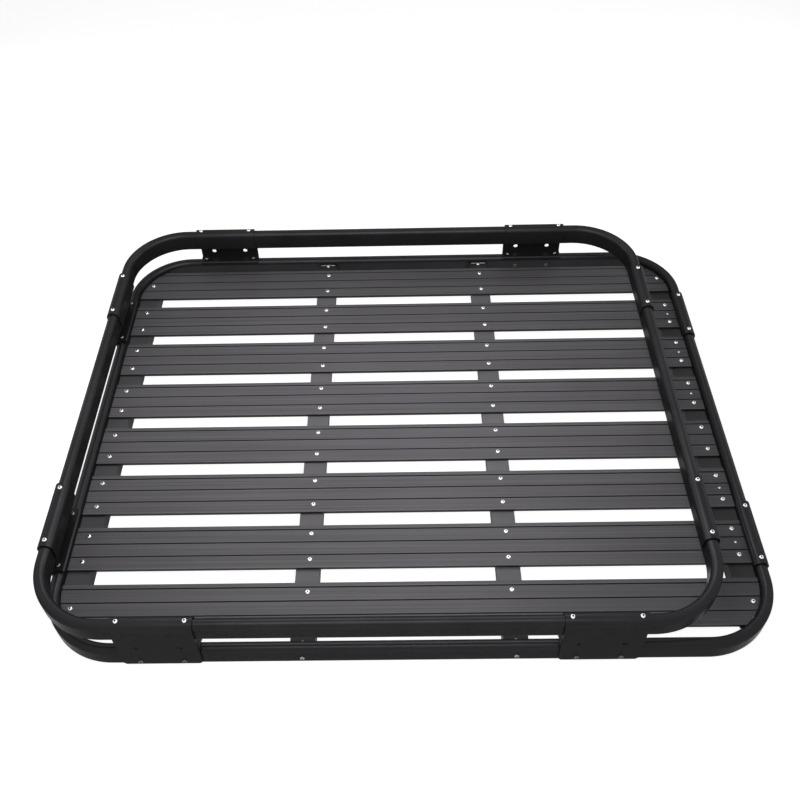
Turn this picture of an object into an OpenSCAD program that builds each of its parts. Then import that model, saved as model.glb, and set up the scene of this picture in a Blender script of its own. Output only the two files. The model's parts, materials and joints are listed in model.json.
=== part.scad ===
// Roof basket: a slatted deck on four rails inside a lower tube loop, with a shorter upper loop
// carried above it by saddle brackets. Millimetres, X along the slats, Z up, origin under the middle.

/* [Loops] */
// Length of the lower loop over its tubes
loop_l = 1233; // [1100:1:1500]
// Width of the lower loop over its tubes
loop_w = 998.5; // [900:0.5:1200]
// Bend radius at the tube's centre line
bend_r = 118; // [90:1:140]
// Height of the upper loop's centre line over the lower one's
loop_rise = 79.5; // [70:0.5:110]
// How far the upper loop stops short of the lower one at the right end
right_inset = 103; // [60:1:160]

/* [Tubes] */
// Width of the oval tube
tube_w = 20; // [16:0.5:26]
// Height of the oval tube
tube_h = 45.5; // [36:0.5:50]
// Wall thickness of the oval tube
tube_wall = 1.8; // [1.2:0.1:3]

/* [Deck] */
// Width of a slat
slat_w = 88.5; // [80:0.5:94]
// Height of a slat
slat_h = 6; // [5:0.5:12]
// Thickness of a slat's top skin
slat_skin = 2; // [1.6:0.1:3]
// Thickness of a slat's outer legs
slat_leg = 2; // [1.4:0.1:3]
// Distance between the grooves along a slat
groove_pitch = 26.5; // [22:0.5:27]
// Width of a groove
groove_w = 2.6; // [1.5:0.1:3.5]
// Depth of a groove
groove_depth = 2; // [0.6:0.1:2.4]
// Width of the rib under a groove
rib_w = 6; // [4:0.5:7]
// Open space between the first slat and the far tube
far_gap = 20; // [18:0.1:26]
// Open space between the last slat and the near tube
near_gap = 24; // [18:0.1:30]
// Clearance between the slats' ends and the lower loop
end_clear = 0.6; // [0.4:0.1:3]

/* [Rails] */
// Width of a rail
rail_w = 41.5; // [34:0.5:46]
// Height of a rail
rail_h = 25.5; // [15:0.5:30]
// Wall thickness of a rail
rail_wall = 2; // [1.5:0.1:3]
// Distance of the inner rails from the middle
inner_rail_x = 175; // [120:0.5:230]
// How far the outer rails stop short of the deck's edges
rail_back = 10; // [5:1:30]

/* [Brackets] */
// Length of a bracket along its tube
bracket_l = 131; // [110:1:150]
// Thickness of a bracket's sheet
sheet_t = 3.2; // [2:0.1:4]
// How much tighter a saddle's shoulders turn than the tube under them
shoulder_ease = 1; // [0.5:0.1:2]
// Height of the upper tube left bare below a bracket's inner leg
bracket_bare = 8; // [4:0.5:20]
// Height of the upper tube left bare below an upper saddle's legs
saddle_bare = 19.5; // [4:0.5:24]
// Height of a lower saddle's inner leg over the deck
saddle_clear = 5; // [2:0.5:8]
// Outside radius of the bend between a flange and its lip
flange_r = 4; // [3.4:0.1:8]
// Depth of the lip below the lower tube's top
lip_h = 3.5; // [2:0.5:9]
// Height of the web's lower edge over the ground
web_base = 9.5; // [4:0.5:12]
// Chamfer on the web's lower corners
web_chamfer = 5; // [2:0.5:10]
// Diameter of the web's holes
hole_d = 10; // [6:0.5:14]
// Distance between the web's holes
hole_spacing = 72; // [50:1:90]
// Distance from a left bend to its bracket along X
lead_left = 19.5; // [8:0.5:40]
// Distance from the far right bend to its bracket along X
lead_far_right = 22; // [8:0.5:40]
// Distance from the near right bend to its bracket along X
lead_near_right = 12.5; // [8:0.5:40]
// Distance from a bend to the next bracket along Y
lead_y = 22.5; // [8:0.5:40]

/* [Clips] */
// Thickness of a rail clip
clip_t = 2.5; // [1.5:0.1:3]
// Length of a rail clip along its rail
clip_l = 15; // [10:0.5:17]
// Chamfer on a clip's upper corners
clip_chamfer = 5; // [2:0.5:6]

/* [Hidden] */
$fn = 48;
slat_count = 8;

// Centre lines of the loops
half_l = (loop_l - tube_w) / 2;
half_w = (loop_w - tube_w) / 2;
low_z = tube_h / 2;
high_z = low_z + loop_rise;
upper_right = half_l - right_inset;

// Middles of the brackets, where the tubes meet end to end
joint_left = bend_r + lead_left + bracket_l / 2 - half_l;
joint_far_right = upper_right - bend_r - lead_far_right - bracket_l / 2;
joint_near_right = upper_right - bend_r - lead_near_right - bracket_l / 2;
joint_y = half_w - bend_r - lead_y - bracket_l / 2;

// Heights and radii of the saddles
low_top = low_z + tube_h / 2;
high_top = high_z + tube_h / 2;
shoulder_r = tube_w / 2 - shoulder_ease;

// Deck
inner_l = loop_l - 2 * tube_w;
inner_w = loop_w - 2 * tube_w;
deck_z = rail_h + slat_h;
slat_pitch = (inner_w - far_gap - near_gap - slat_w) / (slat_count - 1);
first_slat_y = inner_w / 2 - far_gap;
outer_rail_x = (inner_l - rail_w) / 2;

// Turn about Z that brings the first quarter to the quarter with these signs
function quarter_turn(side_x, side_y) = side_x > 0 ? (side_y > 0 ? 0 : 270) : (side_y > 0 ? 90 : 180);

// Oval tube section with flat sides
module oval(w, h) {
    square([w, h - w], center = true);
    for (side = [-1, 1]) {
        translate([0, side * (h - w) / 2]) circle(d = w);
    }
}

module tube_section() {
    difference() {
        oval(tube_w, tube_h);
        oval(tube_w - 2 * tube_wall, tube_h - 2 * tube_wall);
    }
}

// Straight tube along X from one place to another
module tube_x(from, to, y, z) {
    color("#26262a")
    translate([(from + to) / 2, y, z])
    rotate([90, 0, 90])
    linear_extrude(height = to - from, center = true)
    tube_section();
}

// Straight tube along Y from one place to another
module tube_y(from, to, x, z) {
    color("#26262a")
    translate([x, (from + to) / 2, z])
    rotate([90, 0, 0])
    linear_extrude(height = to - from, center = true)
    tube_section();
}

// Corner bend with a straight leg to each joint; side_x and side_y are its quarter's signs
module bend(side_x, side_y, corner_x, joint_x, z) {
    bend_x = corner_x - side_x * bend_r;
    bend_y = side_y * (half_w - bend_r);
    color("#26262a")
    translate([bend_x, bend_y, z])
    rotate([0, 0, quarter_turn(side_x, side_y)])
    rotate_extrude(angle = 90)
    translate([bend_r, 0])
    tube_section();
    tube_x(min(bend_x, joint_x), max(bend_x, joint_x), side_y * half_w, z);
    tube_y(min(bend_y, side_y * joint_y), max(bend_y, side_y * joint_y), corner_x, z);
}

// What the bends leave no room for, in each corner of the deck
module corner_cuts(clear) {
    r = bend_r - tube_w / 2 - clear;
    for (side_x = [-1, 1]) {
        for (side_y = [-1, 1]) {
            translate([side_x * (half_l - bend_r), side_y * (half_w - bend_r), -1])
            rotate([0, 0, quarter_turn(side_x, side_y)])
            linear_extrude(height = deck_z + 2)
            difference() {
                square(2 * bend_r);
                circle(r = r);
            }
        }
    }
}

// Section of a slat, its far edge at 0 and its underside at 0
module slat_section() {
    grooves = [for (i = [1:3]) slat_w - i * groove_pitch];
    ribs = concat([slat_leg - rib_w / 2], [for (i = [3:-1:1]) slat_w - i * groove_pitch],
        [slat_w - slat_leg + rib_w / 2]);
    difference() {
        translate([-slat_w, 0]) square([slat_w, slat_h]);
        for (g = grooves) {
            translate([-g - groove_w / 2, slat_h - groove_depth]) square([groove_w, slat_h]);
        }
        for (i = [0:3]) {
            translate([rib_w / 2 - ribs[i + 1], -1])
            square([ribs[i + 1] - ribs[i] - rib_w, slat_h - slat_skin + 1]);
        }
    }
}

module slat(i) {
    color("#4a484e")
    difference() {
        translate([0, first_slat_y - (i - 1) * slat_pitch, rail_h])
        rotate([90, 0, 90])
        linear_extrude(height = inner_l - 2 * end_clear, center = true)
        slat_section();
        if (i == 1 || i == slat_count) corner_cuts(end_clear);
    }
}

module rail_section() {
    difference() {
        square([rail_w, rail_h], center = true);
        square([rail_w - 2 * rail_wall, rail_h - 2 * rail_wall], center = true);
    }
}

// Rail along Y from one place to another
module rail(from, to, x) {
    translate([x, (from + to) / 2, rail_h / 2])
    rotate([90, 0, 0])
    linear_extrude(height = to - from, center = true)
    rail_section();
}

module inner_rail(side) {
    color("#3c3c40") rail(-inner_w / 2, inner_w / 2, side * inner_rail_x);
}

module outer_rail(side) {
    color("#3c3c40")
    difference() {
        rail(near_gap + rail_back - inner_w / 2, inner_w / 2 - far_gap - rail_back, side * outer_rail_x);
        corner_cuts(end_clear);
    }
}

// Upright strip w wide from base to top, its upper corners rounded to r
module round_top(w, r, top, base) {
    translate([-w / 2, base]) square([w, top - r - base]);
    translate([r - w / 2, base]) square([w - 2 * r, top - base]);
    for (side = [-1, 1]) {
        translate([side * (w / 2 - r), top - r]) circle(r = r);
    }
}

// What a saddle's sheet leaves free: the tube's space, and all below the inner leg, outward to +X
module saddle_space(top, r, inner_base) {
    round_top(tube_w, r, top, -1);
    translate([-tube_w / 2 - 2 * sheet_t, -1]) square([tube_w / 2 + 2 * sheet_t, inner_base + 1]);
}

// Section of a saddle bent close over the tube
module arch_section(top, outer_base, inner_base) {
    difference() {
        round_top(tube_w + 2 * sheet_t, shoulder_r + sheet_t, top + sheet_t, outer_base);
        saddle_space(top, shoulder_r, inner_base);
    }
}

// Section of the flange that runs from the web flat over the lower tube to a short lip
module flange_section() {
    difference() {
        union() {
            round_top(tube_w + 2 * sheet_t, flange_r, low_top + sheet_t, web_base);
            translate([0, web_base]) square([tube_w / 2 + sheet_t, low_top + sheet_t - web_base]);
        }
        saddle_space(low_top, flange_r - sheet_t, low_top - lip_h);
    }
}

// Runs a section along the tube, its +X turned outward to +Y
module along_tube() {
    rotate([90, 0, 90])
    linear_extrude(height = bracket_l, center = true)
    children();
}

module web_corner_chamfers() {
    for (side = [-1, 1]) {
        translate([side * bracket_l / 2, (tube_w + sheet_t) / 2, web_base])
        rotate([0, 45, 0])
        cube([web_chamfer * sqrt(2), 2 * sheet_t, web_chamfer * sqrt(2)], center = true);
    }
}

// Full bracket: the web joins a saddle over the upper tube and a flange over the lower, outward to +Y
module bracket() {
    color("#202024")
    difference() {
        along_tube() {
            arch_section(high_top, web_base, high_top - tube_h + bracket_bare);
            flange_section();
        }
        web_corner_chamfers();
        for (side = [-1, 1]) {
            translate([side * hole_spacing / 2, tube_w / 2 - 1, low_z + loop_rise / 2])
            rotate([-90, 0, 0])
            cylinder(d = hole_d, h = sheet_t + 2);
        }
    }
}

module upper_saddle() {
    color("#202024")
    along_tube()
    arch_section(high_top, high_top - tube_h + saddle_bare, high_top - tube_h + saddle_bare);
}

module lower_saddle() {
    color("#202024")
    difference() {
        along_tube() arch_section(low_top, web_base, deck_z + saddle_clear);
        web_corner_chamfers();
    }
}

module far_bracket(x) {
    translate([x, half_w, 0]) bracket();
}

module near_bracket(x) {
    translate([x, -half_w, 0]) rotate([0, 0, 180]) bracket();
}

module left_bracket(y) {
    translate([-half_l, y, 0]) rotate([0, 0, 90]) bracket();
}

// Clip from a rail's top to the tube's flat side, with outward to +Y
module clip() {
    top = slat_h;
    half = rail_w / 2;
    color("#8a8a8e")
    translate([0, inner_w / 2, rail_h]) {
        translate([-half, -clip_l, 0]) cube([rail_w, clip_l, clip_t]);
        rotate([90, 0, 0])
        linear_extrude(height = clip_t)
        polygon([[-half, 0], [half, 0], [half, top - clip_chamfer], [half - clip_chamfer, top],
            [clip_chamfer - half, top], [-half, top - clip_chamfer]]);
    }
}

module far_clip(side) {
    translate([side * inner_rail_x, 0, 0]) clip();
}

module near_clip(side) {
    translate([side * inner_rail_x, 0, 0]) rotate([0, 0, 180]) clip();
}

slat(1);  // slat_1
slat(2);  // slat_2
slat(3);  // slat_3
slat(4);  // slat_4
slat(5);  // slat_5
slat(6);  // slat_6
slat(7);  // slat_7
slat(8);  // slat_8
outer_rail(-1);  // rail_outer_left
inner_rail(-1);  // rail_inner_left
inner_rail(1);  // rail_inner_right
outer_rail(1);  // rail_outer_right
bend(-1, 1, -half_l, joint_left, low_z);  // lower_bend_far_left
bend(1, 1, half_l, joint_far_right, low_z);  // lower_bend_far_right
bend(-1, -1, -half_l, joint_left, low_z);  // lower_bend_near_left
bend(1, -1, half_l, joint_near_right, low_z);  // lower_bend_near_right
tube_x(joint_left, joint_far_right, half_w, low_z);  // lower_tube_far
tube_x(joint_left, joint_near_right, -half_w, low_z);  // lower_tube_near
tube_y(-joint_y, joint_y, -half_l, low_z);  // lower_tube_left
tube_y(-joint_y, joint_y, half_l, low_z);  // lower_tube_right
bend(-1, 1, -half_l, joint_left, high_z);  // upper_bend_far_left
bend(1, 1, upper_right, joint_far_right, high_z);  // upper_bend_far_right
bend(-1, -1, -half_l, joint_left, high_z);  // upper_bend_near_left
bend(1, -1, upper_right, joint_near_right, high_z);  // upper_bend_near_right
tube_x(joint_left, joint_far_right, half_w, high_z);  // upper_tube_far
tube_x(joint_left, joint_near_right, -half_w, high_z);  // upper_tube_near
tube_y(-joint_y, joint_y, -half_l, high_z);  // upper_tube_left
tube_y(-joint_y, joint_y, upper_right, high_z);  // upper_tube_right
far_bracket(joint_left);  // bracket_far_left
far_bracket(joint_far_right);  // bracket_far_right
near_bracket(joint_left);  // bracket_near_left
near_bracket(joint_near_right);  // bracket_near_right
left_bracket(joint_y);  // bracket_left_far
left_bracket(-joint_y);  // bracket_left_near
translate([upper_right, joint_y, 0]) rotate([0, 0, -90]) upper_saddle();  // upper_saddle_far
translate([upper_right, -joint_y, 0]) rotate([0, 0, -90]) upper_saddle();  // upper_saddle_near
translate([half_l, joint_y, 0]) rotate([0, 0, -90]) lower_saddle();  // lower_saddle_far
translate([half_l, -joint_y, 0]) rotate([0, 0, -90]) lower_saddle();  // lower_saddle_near
far_clip(-1);  // clip_far_left
far_clip(1);  // clip_far_right
near_clip(-1);  // clip_near_left
near_clip(1);  // clip_near_right
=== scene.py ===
"""Roof basket: finishes, screws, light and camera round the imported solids. Metres, row frame."""

import json
import math

import bmesh
import bpy
from mathutils import Matrix, Vector


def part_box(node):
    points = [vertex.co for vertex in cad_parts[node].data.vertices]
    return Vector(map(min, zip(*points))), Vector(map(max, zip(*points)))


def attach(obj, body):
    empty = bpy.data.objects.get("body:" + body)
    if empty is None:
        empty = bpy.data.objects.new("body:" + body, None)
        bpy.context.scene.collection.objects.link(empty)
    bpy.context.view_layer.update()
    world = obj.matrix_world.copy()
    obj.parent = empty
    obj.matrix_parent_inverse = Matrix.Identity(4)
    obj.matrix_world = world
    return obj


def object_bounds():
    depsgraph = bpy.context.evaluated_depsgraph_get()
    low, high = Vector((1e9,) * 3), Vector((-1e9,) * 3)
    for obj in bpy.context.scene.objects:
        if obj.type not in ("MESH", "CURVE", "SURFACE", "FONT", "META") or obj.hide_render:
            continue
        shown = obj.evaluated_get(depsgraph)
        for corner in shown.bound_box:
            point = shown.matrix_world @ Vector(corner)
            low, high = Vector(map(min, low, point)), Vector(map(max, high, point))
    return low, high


MM = 0.001
BODY = "root"
SIDES = (-1, 1)

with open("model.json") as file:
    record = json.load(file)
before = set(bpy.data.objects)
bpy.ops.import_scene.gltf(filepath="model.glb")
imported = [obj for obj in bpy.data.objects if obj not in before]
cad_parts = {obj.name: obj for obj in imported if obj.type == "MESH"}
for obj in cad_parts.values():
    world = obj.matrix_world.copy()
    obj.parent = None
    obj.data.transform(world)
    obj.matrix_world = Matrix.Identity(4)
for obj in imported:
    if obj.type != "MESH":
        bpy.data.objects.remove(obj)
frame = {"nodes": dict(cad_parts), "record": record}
nodes = frame["nodes"]
cad_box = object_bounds()


# ---------------------------------------------------------------- camera
def add_camera():
    """The photo's camera: a pinhole of 914 pixels focal length in an 800 pixel frame, looking down at
    48 degrees."""
    frame_px = 800
    focal_px = 913.9
    centre_px = 389.4
    place = (-0.0041, -1.1835, 1.4087)
    yaw, pitch, roll = math.radians(-1.29), math.radians(48.08), math.radians(-1.77)
    forward = Vector((math.sin(yaw) * math.cos(pitch), math.cos(yaw) * math.cos(pitch), -math.sin(pitch)))
    level_right = Vector((math.cos(yaw), -math.sin(yaw), 0))
    level_up = level_right.cross(forward)
    right = level_right * math.cos(roll) + level_up * math.sin(roll)
    up = level_up * math.cos(roll) - level_right * math.sin(roll)
    turn = Matrix((right, up, -forward)).transposed().to_4x4()
    data = bpy.data.cameras.new("camera")
    data.sensor_fit = "HORIZONTAL"
    data.sensor_width = 36
    data.lens = data.sensor_width * focal_px / frame_px
    data.shift_x = (frame_px / 2 - centre_px) / frame_px
    data.clip_start = 0.01
    camera = bpy.data.objects.new("camera", data)
    camera.matrix_world = Matrix.Translation(place) @ turn
    bpy.context.collection.objects.link(camera)
    bpy.context.scene.camera = camera


# ---------------------------------------------------------------- shader nodes
def new_material(name):
    """A material with its node tree and its shader."""
    material = bpy.data.materials.new(name)
    material.use_nodes = True
    tree = material.node_tree
    return material, tree, tree.nodes["Principled BSDF"]


def math_node(tree, operation, a, b=None, clamp=False):
    """One Math node. a and b are numbers or sockets."""
    node = tree.nodes.new("ShaderNodeMath")
    node.operation = operation
    node.use_clamp = clamp
    for socket, value in zip(node.inputs, (a, b)):
        if value is None:
            continue
        if isinstance(value, (int, float)):
            socket.default_value = value
        else:
            tree.links.new(value, socket)
    return node.outputs[0]


def object_coordinates(tree):
    """Places on the part, in metres."""
    return tree.nodes.new("ShaderNodeTexCoord").outputs["Object"]


def object_axes(tree):
    """The object coordinates as the sockets X, Y and Z."""
    axes = tree.nodes.new("ShaderNodeSeparateXYZ")
    tree.links.new(object_coordinates(tree), axes.inputs["Vector"])
    return axes.outputs


def stretched(tree, scale):
    """Object coordinates, scaled differently along each axis."""
    mapping = tree.nodes.new("ShaderNodeMapping")
    mapping.inputs["Scale"].default_value = scale
    tree.links.new(object_coordinates(tree), mapping.inputs["Vector"])
    return mapping.outputs["Vector"]


def noise(tree, vector, scale, detail=3, roughness=0.5):
    """Noise from 0 to 1, scale in cycles a metre."""
    node = tree.nodes.new("ShaderNodeTexNoise")
    node.inputs["Scale"].default_value = scale
    node.inputs["Detail"].default_value = detail
    node.inputs["Roughness"].default_value = roughness
    tree.links.new(vector, node.inputs["Vector"])
    return node.outputs["Fac"]


def remap(tree, value, low, high, in_low=0.3, in_high=0.7):
    """low where value is in_low or less, high where it is in_high or more."""
    node = tree.nodes.new("ShaderNodeMapRange")
    node.inputs["From Min"].default_value = in_low
    node.inputs["From Max"].default_value = in_high
    node.inputs["To Min"].default_value = low
    node.inputs["To Max"].default_value = high
    tree.links.new(value, node.inputs["Value"])
    return node.outputs["Result"]


def weighted(tree, first, share, second):
    """A share of first, and second for the rest."""
    return math_node(tree, "ADD", math_node(tree, "MULTIPLY", first, share),
                     math_node(tree, "MULTIPLY", second, 1 - share))


def closeness(tree, distance, width):
    """1 where distance is 0, falling to 0 at width."""
    share = math_node(tree, "DIVIDE", math_node(tree, "ABSOLUTE", distance), width)
    return math_node(tree, "SUBTRACT", 1, share, clamp=True)


def by_height(tree, top, below, at_top):
    """The value below under an edge at height top, and at_top on that edge."""
    blend_start, blend_end = 0.6 * MM, 0.2 * MM
    return remap(tree, object_axes(tree)["Z"], below, at_top, top - blend_start, top - blend_end)


def blend_colour(tree, factor, dark, light):
    """From the colour dark at 0 to light at 1."""
    ramp = tree.nodes.new("ShaderNodeValToRGB")
    ramp.color_ramp.elements[0].color = (*dark, 1)
    ramp.color_ramp.elements[1].color = (*light, 1)
    tree.links.new(factor, ramp.inputs["Fac"])
    return ramp.outputs["Color"]


def mix_colour(tree, factor, under, over):
    """The socket under, covered by the plain colour over as far as factor says."""
    node = tree.nodes.new("ShaderNodeMix")
    node.data_type = "RGBA"
    tree.links.new(factor, node.inputs["Factor"])
    tree.links.new(under, node.inputs["A"])
    node.inputs["B"].default_value = (*over, 1)
    return node.outputs["Result"]


def cover(material, factor, colour):
    """Covers a material's own colour with a plain one as far as factor says."""
    tree = material.node_tree
    base = tree.nodes["Principled BSDF"].inputs["Base Color"]
    tree.links.new(mix_colour(tree, factor, base.links[0].from_socket, colour), base)


def bump(tree, shader, height, distance):
    """Bump at full strength, distance deep."""
    node = tree.nodes.new("ShaderNodeBump")
    node.inputs["Strength"].default_value = 1
    node.inputs["Distance"].default_value = distance
    tree.links.new(height, node.inputs["Height"])
    tree.links.new(node.outputs["Normal"], shader.inputs["Normal"])


def seen_white(tree):
    """1 for camera, glossy and transmission rays, which see the surroundings as white, and 0 for the rest."""
    rays = tree.nodes.new("ShaderNodeLightPath").outputs
    mirrored = math_node(tree, "MAXIMUM", rays["Is Glossy Ray"], rays["Is Transmission Ray"])
    return math_node(tree, "MAXIMUM", rays["Is Camera Ray"], mirrored)


# ---------------------------------------------------------------- finishes
def satin_coat(name, dark, light, rough, specular, metallic=0.0):
    """Satin coat: cloudy colour, a fine orange-peel grain and uneven sheen. A part-metallic one mirrors
    only a little at a grazing angle."""
    cloud_scale, speckle_scale, sheen_scale, grain_scale = 9, 900, 25, 650
    cloud_share = 0.7
    sheen_spread = 0.05
    grain_depth = 0.05 * MM
    grazing = 0.2 if metallic else 1
    material, tree, shader = new_material(name)
    even = stretched(tree, (1, 1, 1))
    clouds = noise(tree, even, cloud_scale, detail=4)
    speckle = noise(tree, even, speckle_scale, detail=2)
    mixed = remap(tree, weighted(tree, clouds, cloud_share, speckle), 0, 1, in_low=0.35, in_high=0.65)
    sheen = remap(tree, noise(tree, even, sheen_scale), rough - sheen_spread, rough + sheen_spread)
    tree.links.new(blend_colour(tree, mixed, dark, light), shader.inputs["Base Color"])
    tree.links.new(sheen, shader.inputs["Roughness"])
    bump(tree, shader, noise(tree, even, grain_scale, detail=2), grain_depth)
    shader.inputs["Specular IOR Level"].default_value = specular
    shader.inputs["Metallic"].default_value = metallic
    shader.inputs["Specular Tint"].default_value = (grazing, grazing, grazing, 1)
    return material


def slat_finish(name, dark, light, edge, groove_shade):
    """Coated extrusion: fine die lines along X, with painted shade in the grooves and on the near side face,
    and painted highlights along the grooves' edges and the near edge.
    """
    # From a slat's far edge: the grooves' middles, the near edge with its painted highlight, and where the
    # side face with its painted shade begins.
    groove_places = (9 * MM, 35.5 * MM, 62 * MM)
    near_edge, near_side = 87 * MM, 88.3 * MM
    groove_half, groove_blur = 1.3 * MM, 0.15 * MM
    edge_width = 1.4 * MM
    far_margin = 1e-4
    line_stretch, cloud_stretch = (1.5, 420, 420), (4, 9, 9)
    line_share, highlight_share, shade_share = 0.75, 0.6, 0.85
    smooth, rough = 0.42, 0.56
    line_depth = 0.04 * MM
    first_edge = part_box("slat_1")[1][1]
    pitch = first_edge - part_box("slat_2")[1][1]
    material, tree, shader = new_material(name)

    # How far a point lies from its own slat's far edge. The margin keeps that edge from counting as the
    # slat before.
    from_first = math_node(tree, "SUBTRACT", first_edge + far_margin, object_axes(tree)["Y"])
    across = math_node(tree, "MODULO", from_first, pitch)
    # Painted highlight: a light band along the near edge and along the grooves' edges.
    edge_highlight = closeness(tree, math_node(tree, "SUBTRACT", across, near_edge), edge_width)
    # Painted shade: the grooves and the near side face are darkened with the dark colour.
    sunk_shade = math_node(tree, "GREATER_THAN", across, near_side)
    for place in groove_places:
        off_centre = math_node(tree, "ABSOLUTE", math_node(tree, "SUBTRACT", across, place))
        away = math_node(tree, "SUBTRACT", off_centre, groove_half)
        inside = math_node(tree, "SUBTRACT", groove_blur, away)
        edge_highlight = math_node(tree, "MAXIMUM", edge_highlight, closeness(tree, away, edge_width))
        sunk_shade = math_node(tree, "MAXIMUM", sunk_shade, math_node(tree, "DIVIDE", inside, groove_blur, clamp=True))

    lines = noise(tree, stretched(tree, line_stretch), 1, detail=3, roughness=0.6)
    clouds = noise(tree, stretched(tree, cloud_stretch), 1, detail=3)
    mixed = remap(tree, weighted(tree, lines, line_share, clouds), 0, 1, in_low=0.34, in_high=0.66)
    colour = blend_colour(tree, mixed, dark, light)
    # The painted highlight and then the painted shade go over the coat's colour.
    colour = mix_colour(tree, math_node(tree, "MULTIPLY", edge_highlight, highlight_share), colour, edge)
    colour = mix_colour(tree, math_node(tree, "MULTIPLY", sunk_shade, shade_share), colour, groove_shade)
    tree.links.new(colour, shader.inputs["Base Color"])
    tree.links.new(remap(tree, lines, smooth, rough), shader.inputs["Roughness"])
    bump(tree, shader, lines, line_depth)
    shader.inputs["Specular IOR Level"].default_value = 0.2
    return material


def rail_finish(name, dark, light, shade):
    """The satin coat, with painted shade down the rails' sides and over the two outer rails."""
    side_shade_share, outer_shade_share = 0.85, 0.52
    past_inner = 0.1
    material = satin_coat(name, dark, light, rough=0.5, specular=0.03)
    tree = material.node_tree
    # Painted shade: the shade colour covers the rails' sides below their top, and the two outer rails, which
    # lie in the side tubes' shadow.
    side = by_height(tree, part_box("rail_inner_left")[1][2], side_shade_share, 0)
    from_middle = math_node(tree, "ABSOLUTE", object_axes(tree)["X"])
    is_outer = math_node(tree, "GREATER_THAN", from_middle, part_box("rail_inner_right")[1][0] + past_inner)
    outer = math_node(tree, "MULTIPLY", is_outer, outer_shade_share)
    cover(material, math_node(tree, "MAXIMUM", side, outer), shade)
    return material


def clip_finish(name, dark, light, top_highlight):
    """The satin coat, with a painted highlight of a light metal colour in patches along the far clips' upper
    edges.
    """
    patch_scale = 500
    material = satin_coat(name, dark, light, rough=0.4, specular=0.1)
    tree = material.node_tree
    # Painted highlight: the top face of the far clips only, broken into patches.
    high = by_height(tree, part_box("clip_far_left")[1][2], 0, 1)
    highlight_patches = remap(tree, noise(tree, object_coordinates(tree), patch_scale), 0.5, 1)
    is_far = math_node(tree, "GREATER_THAN", object_axes(tree)["Y"], 0)
    cover(material, math_node(tree, "MULTIPLY", math_node(tree, "MULTIPLY", high, highlight_patches), is_far), top_highlight)
    return material


def plated(name, colour, dull, rough):
    """Plated steel, slightly clouded."""
    cloud_scale, sheen_scale = 400, 1500
    sheen_below, sheen_above = 0.06, 0.08
    material, tree, shader = new_material(name)
    even = stretched(tree, (1, 1, 1))
    clouds = remap(tree, noise(tree, even, cloud_scale), 0, 1)
    sheen = remap(tree, noise(tree, even, sheen_scale), rough - sheen_below, rough + sheen_above)
    tree.links.new(blend_colour(tree, clouds, dull, colour), shader.inputs["Base Color"])
    tree.links.new(sheen, shader.inputs["Roughness"])
    shader.inputs["Metallic"].default_value = 1
    return material


MATERIALS = {
    "tube_coat": satin_coat("tube_coat", dark=(0.029, 0.029, 0.031), light=(0.039, 0.038, 0.041),
                            rough=0.30, specular=0.06, metallic=0.5),
    "bracket_coat": satin_coat("bracket_coat", dark=(0.027, 0.027, 0.029), light=(0.037, 0.036, 0.039),
                               rough=0.32, specular=0.06, metallic=0.5),
    "rail_coat": rail_finish("rail_coat", dark=(0.155, 0.150, 0.158), light=(0.200, 0.194, 0.203),
                             shade=(0.040, 0.039, 0.041)),
    # slat_coat: its lightest colour is a painted highlight along the edges, its darkest a painted shade in
    # the grooves and on the near side face.
    "slat_coat": slat_finish("slat_coat", dark=(0.090, 0.086, 0.094), light=(0.158, 0.151, 0.163),
                             edge=(0.200, 0.192, 0.204), groove_shade=(0.022, 0.021, 0.024)),
    # screw_socket: near-black, painted shade inside the screws' sockets.
    "screw_socket": satin_coat("screw_socket", dark=(0.010, 0.010, 0.010), light=(0.018, 0.018, 0.018),
                               rough=0.6, specular=0.05),
    "bolt_dark": plated("bolt_dark", colour=(0.12, 0.12, 0.125), dull=(0.07, 0.07, 0.075), rough=0.45),
    # A darker, rougher copy of the screw steel. On the flange screws under the upper tubes its darkness is
    # painted shade.
    "bolt_dull": plated("bolt_dull", colour=(0.34, 0.33, 0.32), dull=(0.20, 0.195, 0.19), rough=0.4),
    # clip_metal: its light metal colour is a painted highlight on the far clips' upper edges.
    "clip_metal": clip_finish("clip_metal", dark=(0.040, 0.038, 0.038), light=(0.055, 0.053, 0.052),
                              top_highlight=(0.75, 0.74, 0.70)),
    "screw_steel": plated("screw_steel", colour=(0.92, 0.92, 0.93), dull=(0.75, 0.75, 0.77), rough=0.22),
}


def finish_nodes():
    """Each carried-over node takes the finish of its slot in the record."""
    for part in frame["record"]["subparts"]:
        data = nodes[part["node"]].data
        data.materials.clear()
        data.materials.append(MATERIALS[part["material_slot"]])


# ---------------------------------------------------------------- fasteners
# A head's outline from its seat up, as shares of its radius and of its height.
HEAD_PROFILE = ((1.0, 0.0), (1.0, 0.22), (0.93, 0.5), (0.80, 0.76), (0.62, 0.94), (0.48, 1.0))
# Material index of the near-black socket finish, which is painted shade.
SOCKET_SHADE_INDEX = 1

# Name, the lower tube that carries it, the axis along that tube, and the way outward across it.
BRACKETS = (
    ("bracket_far_left", "lower_tube_far", 0, 1),
    ("bracket_far_right", "lower_tube_far", 0, 1),
    ("bracket_near_left", "lower_tube_near", 0, -1),
    ("bracket_near_right", "lower_tube_near", 0, -1),
    ("bracket_left_far", "lower_tube_left", 1, -1),
    ("bracket_left_near", "lower_tube_left", 1, -1),
)
LOWER_SADDLES = (
    ("lower_saddle_far", "lower_tube_right", 1, 1),
    ("lower_saddle_near", "lower_tube_right", 1, 1),
)


def bridge(builder, lower, upper):
    """The band of faces between two rings of vertices."""
    count = len(lower)
    pairs = [(i, (i + 1) % count) for i in range(count)]
    return [builder.faces.new((lower[i], lower[j], upper[j], upper[i])) for i, j in pairs]


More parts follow.
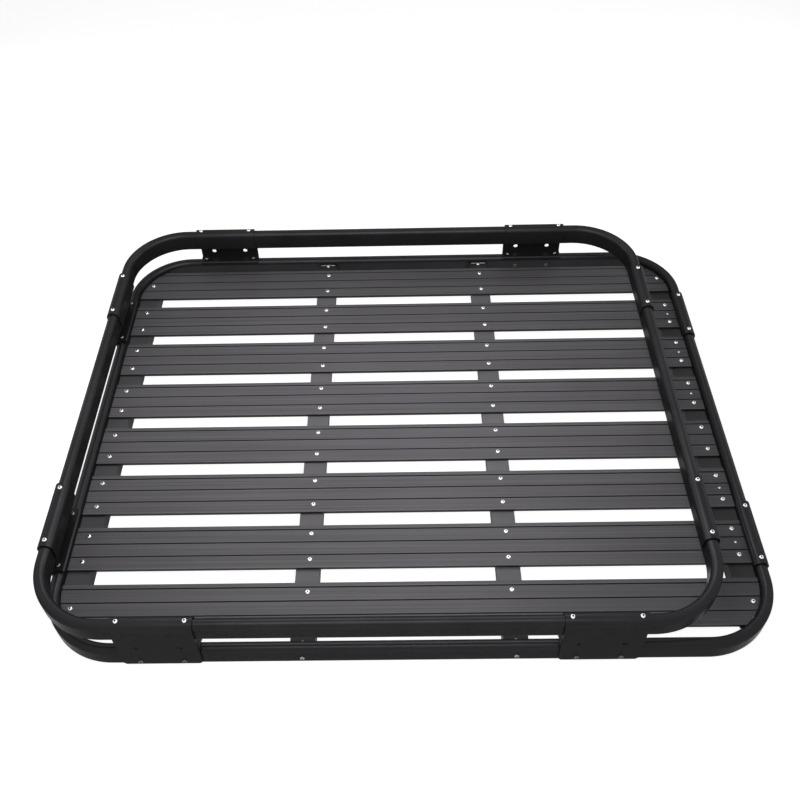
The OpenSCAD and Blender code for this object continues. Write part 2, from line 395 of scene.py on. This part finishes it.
def hexagon(angle, flat_radius):
    """Distance from the axis to a hexagon's side in that direction."""
    return flat_radius / math.cos((angle + math.pi / 6) % (math.pi / 3) - math.pi / 6)


def add_screw(builder, place, radius=4.3 * MM, height=2.6 * MM, socket=1.6 * MM, depth=1.5 * MM, segments=24):
    """A button head with a hexagon socket that is painted near-black as shade. place takes the head's seat at
    z 0 to where it belongs.
    """
    angles = [2 * math.pi * i / segments for i in range(segments)]

    def ring(distances, z):
        """Vertices round the axis, each at its own distance."""
        points = [Vector((d * math.cos(a), d * math.sin(a), z)) for d, a in zip(distances, angles)]
        return [builder.verts.new(place @ point) for point in points]

    rings = [ring([radius * out] * segments, height * rise) for out, rise in HEAD_PROFILE]
    rings += [ring([hexagon(a, socket) for a in angles], z) for z in (height, height - depth)]
    bands = [bridge(builder, lower, upper) for lower, upper in zip(rings, rings[1:])]
    socket_floor = builder.faces.new(rings[-1])
    builder.faces.new(list(reversed(rings[0])))
    # The socket's walls and floor take the near-black finish, painted shade.
    for face in (*bands[-1], socket_floor):
        face.material_index = SOCKET_SHADE_INDEX


def fasteners(name, places, finish="screw_steel", **sizes):
    """One piece of several like screws."""
    builder = bmesh.new()
    for place in places:
        add_screw(builder, place, **sizes)
    bmesh.ops.recalc_face_normals(builder, faces=builder.faces)
    mesh = bpy.data.meshes.new(name)
    builder.to_mesh(mesh)
    builder.free()
    mesh.materials.append(MATERIALS[finish])
    mesh.materials.append(MATERIALS["screw_socket"])
    piece = bpy.data.objects.new(name, mesh)
    bpy.context.collection.objects.link(piece)
    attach(piece, BODY)


def upright(x, y, z):
    """A head whose seat is at x, y, z and that points up."""
    return Matrix.Translation((x, y, z))


def facing(x, y, z, direction):
    """A head whose seat is at x, y, z and that points along direction."""
    return upright(x, y, z) @ Vector((0, 0, 1)).rotation_difference(Vector(direction)).to_matrix().to_4x4()


def middle(box, axis):
    """The middle of a box along an axis."""
    return (box[0][axis] + box[1][axis]) / 2


def side_of(box, axis, way):
    """Where a box ends along an axis, on the side that way (1 or -1) points to."""
    return box[1][axis] if way > 0 else box[0][axis]


def add_slat_screws():
    """Screws through each slat into the four rails, and a small pin at the right end of five slats."""
    outer_x, inner_x = 575.5 * MM, 174 * MM
    shift = 2.2 * MM
    both_rows, middle_row, pin_row = (18.3 * MM, 71.8 * MM), (45.5 * MM,), 46.4 * MM
    slat_count = 8
    end_slats, pinned_slats = (1, 8), (2, 3, 4, 6, 7)
    for i in range(1, slat_count + 1):
        _, far_edge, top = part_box(f"slat_{i}")[1]
        outer_rows = middle_row if i in end_slats else both_rows
        fasteners(f"slat_{i}_screws", [upright(shift + side * x, far_edge - row, top)
                                       for x, rows in ((outer_x, outer_rows), (inner_x, both_rows))
                                       for side in SIDES for row in rows])
        if i in pinned_slats:
            fasteners(f"slat_{i}_pin", [upright(shift + outer_x, far_edge - pin_row, top)],
                      radius=2.2 * MM, height=1.2 * MM, socket=0.7 * MM, depth=0.6 * MM)


def saddle_places(node, along, across, z):
    """Two upright screws on a saddle, spaced along it, at a set place across it."""
    spacing = 108 * MM
    places = []
    for side in SIDES:
        point = [across, across, z]
        point[along] = middle(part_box(node), along) + side * spacing / 2
        places.append(upright(*point))
    return places


def add_saddle_screws():
    """Two screws on each bracket's arch, two on its flange, and two on each separate saddle."""
    arch_radius, flange_radius = 3.9 * MM, 3.7 * MM
    arch_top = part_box("bracket_far_left")[1][2]
    flange_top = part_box("lower_saddle_far")[1][2]
    for name, tube, along, _ in BRACKETS:
        across = middle(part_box(tube), 1 - along)
        fasteners(f"{name}_screws", saddle_places(name, along, across, arch_top), radius=arch_radius)
        # The flange screws take the darker steel as painted shade under the upper tube.
        fasteners(f"{name}_flange_screws", saddle_places(name, along, across, flange_top), "bolt_dull",
                  radius=flange_radius)
    for level, z in (("upper", arch_top), ("lower", flange_top)):
        across = middle(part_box(f"{level}_tube_right"), 0)
        for end in ("far", "near"):
            name = f"{level}_saddle_{end}"
            fasteners(f"{name}_screws", saddle_places(name, 1, across, z), radius=arch_radius)


def add_cross_bolts():
    """Bolts through the lower tube: two under each bracket and saddle, and one at each inner rail's end.
    Each clip also has a screw that faces the deck."""
    spacing = 72 * MM
    far_z, near_z, clip_z = 22.7 * MM, 18 * MM, 27.5 * MM
    clip_plate = 2.5 * MM
    clip_radius = 4 * MM
    with_inner_heads = "bracket_far_right"  # the only one whose bolts the photo shows from the deck's side
    for name, tube, along, outward in BRACKETS + LOWER_SADDLES:
        across = 1 - along
        z = near_z if tube == "lower_tube_near" else far_z
        heads = [(side_of(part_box(name), across, outward), outward)]
        if name == with_inner_heads:
            heads.append((side_of(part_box(tube), across, -outward), -outward))
        places = []
        for side in SIDES:
            for seat, way in heads:
                point, direction = [0, 0, z], [0, 0, 0]
                point[along] = middle(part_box(name), along) + side * spacing / 2
                point[across] = seat
                direction[across] = way
                places.append(facing(*point, direction))
        fasteners(f"{name}_bolts", places, "bolt_dark")
    for end, way, z in (("far", 1, far_z), ("near", -1, near_z)):
        tube_side = side_of(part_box(f"lower_tube_{end}"), 1, way)
        for side in ("left", "right"):
            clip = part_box(f"clip_{end}_{side}")
            x = middle(clip, 0)
            clip_face = side_of(clip, 1, way) - way * clip_plate
            fasteners(f"clip_{end}_{side}_bolt", [facing(x, tube_side, z, (0, way, 0))], "bolt_dull",
                      radius=clip_radius)
            fasteners(f"clip_{end}_{side}_screw", [facing(x, clip_face, clip_z, (0, -way, 0))],
                      radius=clip_radius)


# ---------------------------------------------------------------- surroundings
# Name, place, target, size in metres and power in watts.
LAMPS = (
    ("overhead", (-0.08, 0.04, 0.62), (-0.08, 0.04, 0), (1.0, 0.3), 2.9),
    ("overhead_front", (-0.05, -0.7, 0.85), (-0.05, -0.3, 0), (0.9, 0.35), 3.2),
    ("back", (0, 1.3, 1.3), (0, 0, 0), (1.2, 1.0), 2),
    ("back_left", (-1.8, 1.0, 0.4), (-0.4, -0.1, 0.05), (0.9, 0.6), 4),
    ("back_right", (1.8, 1.0, 0.5), (0.4, -0.1, 0.05), (0.9, 0.6), 5),
    ("left", (-1.4, 0.1, 0.9), (0, 0, 0), (1.2, 0.8), 1),
)


def add_floor():
    """A pale floor just under the part, which keeps its shadow and reads white."""
    half = 12
    gap = 0.5 * MM
    grey = 0.6
    glow_seen = 0.93
    z = cad_box[0][2] - gap
    corners = [(-half, -half, z), (half, -half, z), (half, half, z), (-half, half, z)]
    mesh = bpy.data.meshes.new("floor")
    mesh.from_pydata(corners, [], [(0, 1, 2, 3)])
    floor = bpy.data.objects.new("floor", mesh)
    bpy.context.collection.objects.link(floor)
    material, tree, shader = new_material("floor")
    shader.inputs["Base Color"].default_value = (grey, grey, grey, 1)
    shader.inputs["Roughness"].default_value = 1
    shader.inputs["Specular IOR Level"].default_value = 0
    glow = tree.nodes.new("ShaderNodeEmission")
    tree.links.new(math_node(tree, "MULTIPLY", seen_white(tree), glow_seen), glow.inputs["Strength"])
    both = tree.nodes.new("ShaderNodeAddShader")
    tree.links.new(shader.outputs[0], both.inputs[0])
    tree.links.new(glow.outputs[0], both.inputs[1])
    tree.links.new(both.outputs[0], tree.nodes["Material Output"].inputs["Surface"])
    mesh.materials.append(material)


def add_lamp(name, place, target, size, power):
    """A rectangular area lamp that faces its target and isn't seen itself."""
    data = bpy.data.lights.new(name, "AREA")
    data.shape = "RECTANGLE"
    data.size, data.size_y = size
    data.energy = power
    lamp = bpy.data.objects.new(name, data)
    turn = (Vector(target) - Vector(place)).to_track_quat("-Z", "Y").to_matrix().to_4x4()
    lamp.matrix_world = Matrix.Translation(place) @ turn
    lamp.visible_camera = False
    bpy.context.collection.objects.link(lamp)


def add_world():
    """Seen as white, but lights the part only faintly."""
    ambient = 0.02
    world = bpy.data.worlds.new("studio")
    bpy.context.scene.world = world
    world.use_nodes = True
    tree = world.node_tree
    background = tree.nodes["Background"]
    background.inputs["Color"].default_value = (1, 1, 1, 1)
    strength = remap(tree, seen_white(tree), ambient, 1, in_low=0, in_high=1)
    tree.links.new(strength, background.inputs["Strength"])


add_camera()
finish_nodes()
add_slat_screws()
add_saddle_screws()
add_cross_bolts()
add_floor()
add_world()
for lamp_facts in LAMPS:
    add_lamp(*lamp_facts)
bpy.context.scene.view_settings.view_transform = "Standard"
